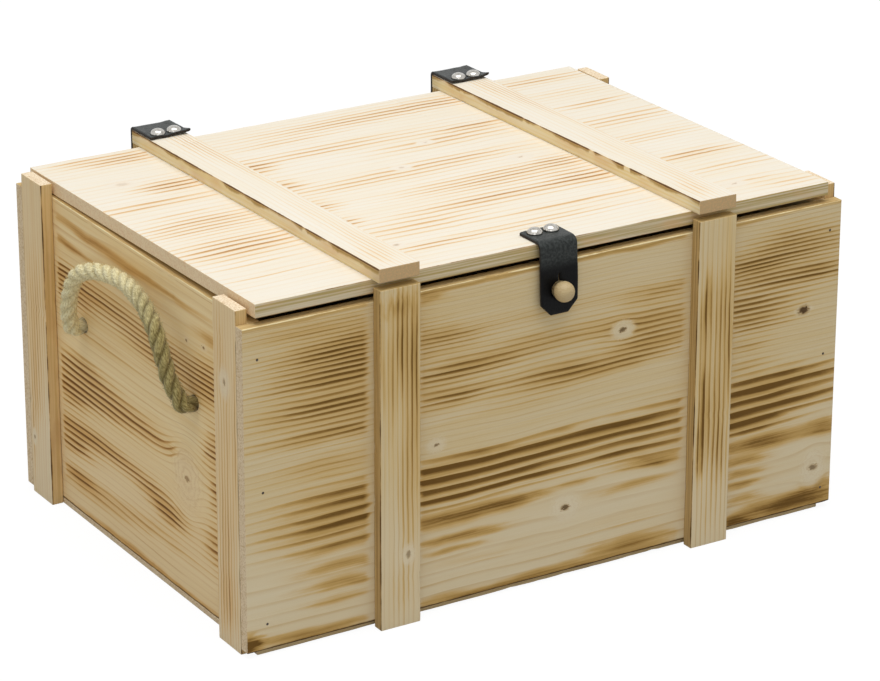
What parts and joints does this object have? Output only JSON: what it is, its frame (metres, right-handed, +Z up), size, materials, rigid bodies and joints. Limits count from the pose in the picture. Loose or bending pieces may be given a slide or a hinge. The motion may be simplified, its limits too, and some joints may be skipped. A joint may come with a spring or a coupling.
{
  "type": "wooden wine box",
  "caption": "Nailed pine crate with a battened lid on leather hinges, a leather strap buttoned over a turned knob, and a rope handle at each end.",
  "frame": {"origin": "middle of the underside of the bottom board, on the surface the box stands on", "axes": "+X along the length towards the right end, +Y towards the hinges at the rear, +Z up; the closure faces -Y"},
  "size_m": [0.505, 0.3658, 0.2621],
  "materials": {
    "pine_panel": "matte",
    "pine_strip": "matte",
    "pine_lid": "matte",
    "bottom_board": "matte",
    "black_leather": "satin",
    "nickel_nail": "polished",
    "beech_knob": "satin",
    "jute_rope": "matte"
  },
  "bodies": {
    "box": {"front_panel": "pine_panel", "back_panel": "pine_panel", "left_end_panel": "pine_panel", "right_end_panel": "pine_panel", "bottom_board": "bottom_board", "front_left_cleat": "pine_strip", "front_right_cleat": "pine_strip", "rear_left_cleat": "pine_strip", "rear_right_cleat": "pine_strip", "front_left_batten": "pine_strip", "front_right_batten": "pine_strip", "rear_left_batten": "pine_strip", "rear_right_batten": "pine_strip", "left_hinge_box_leaf": "black_leather", "right_hinge_box_leaf": "black_leather", "hinge_box_nails": "nickel_nail", "closure_knob": "beech_knob", "left_rope_ends": "jute_rope", "right_rope_ends": "jute_rope"},
    "lid": {"lid_panel": "pine_lid", "left_lid_batten": "pine_strip", "right_lid_batten": "pine_strip", "left_hinge_lid_leaf": "black_leather", "right_hinge_lid_leaf": "black_leather", "hinge_lid_nails": "nickel_nail", "closure_strap": "black_leather", "closure_strap_nails": "nickel_nail"},
    "flap": {"closure_flap": "black_leather"},
    "left_handle": {"left_rope_handle": "jute_rope"},
    "right_handle": {"right_rope_handle": "jute_rope"}
  },
  "joints": [
    {"name": "lid_hinge", "type": "hinge", "parent": "box", "child": "lid", "pos_m": [0, 0.177, 0.245], "axis": [-1, 0, 0], "range_deg": [0, 170], "deforming": ["closure_flap"]},
    {"name": "flap_bend", "type": "hinge", "parent": "lid", "child": "flap", "pos_m": [0, -0.16982, 0.24624], "axis": [-1, 0, 0], "range_deg": [0, 110], "deforming": ["closure_flap"]},
    {"name": "left_handle_swing", "type": "hinge", "parent": "box", "child": "left_handle", "pos_m": [-0.24, 0, 0.153], "axis": [0, -1, 0], "range_deg": [-4, 155]},
    {"name": "right_handle_swing", "type": "hinge", "parent": "box", "child": "right_handle", "pos_m": [0.24, 0, 0.153], "axis": [0, 1, 0], "range_deg": [-4, 155]}
  ]
}
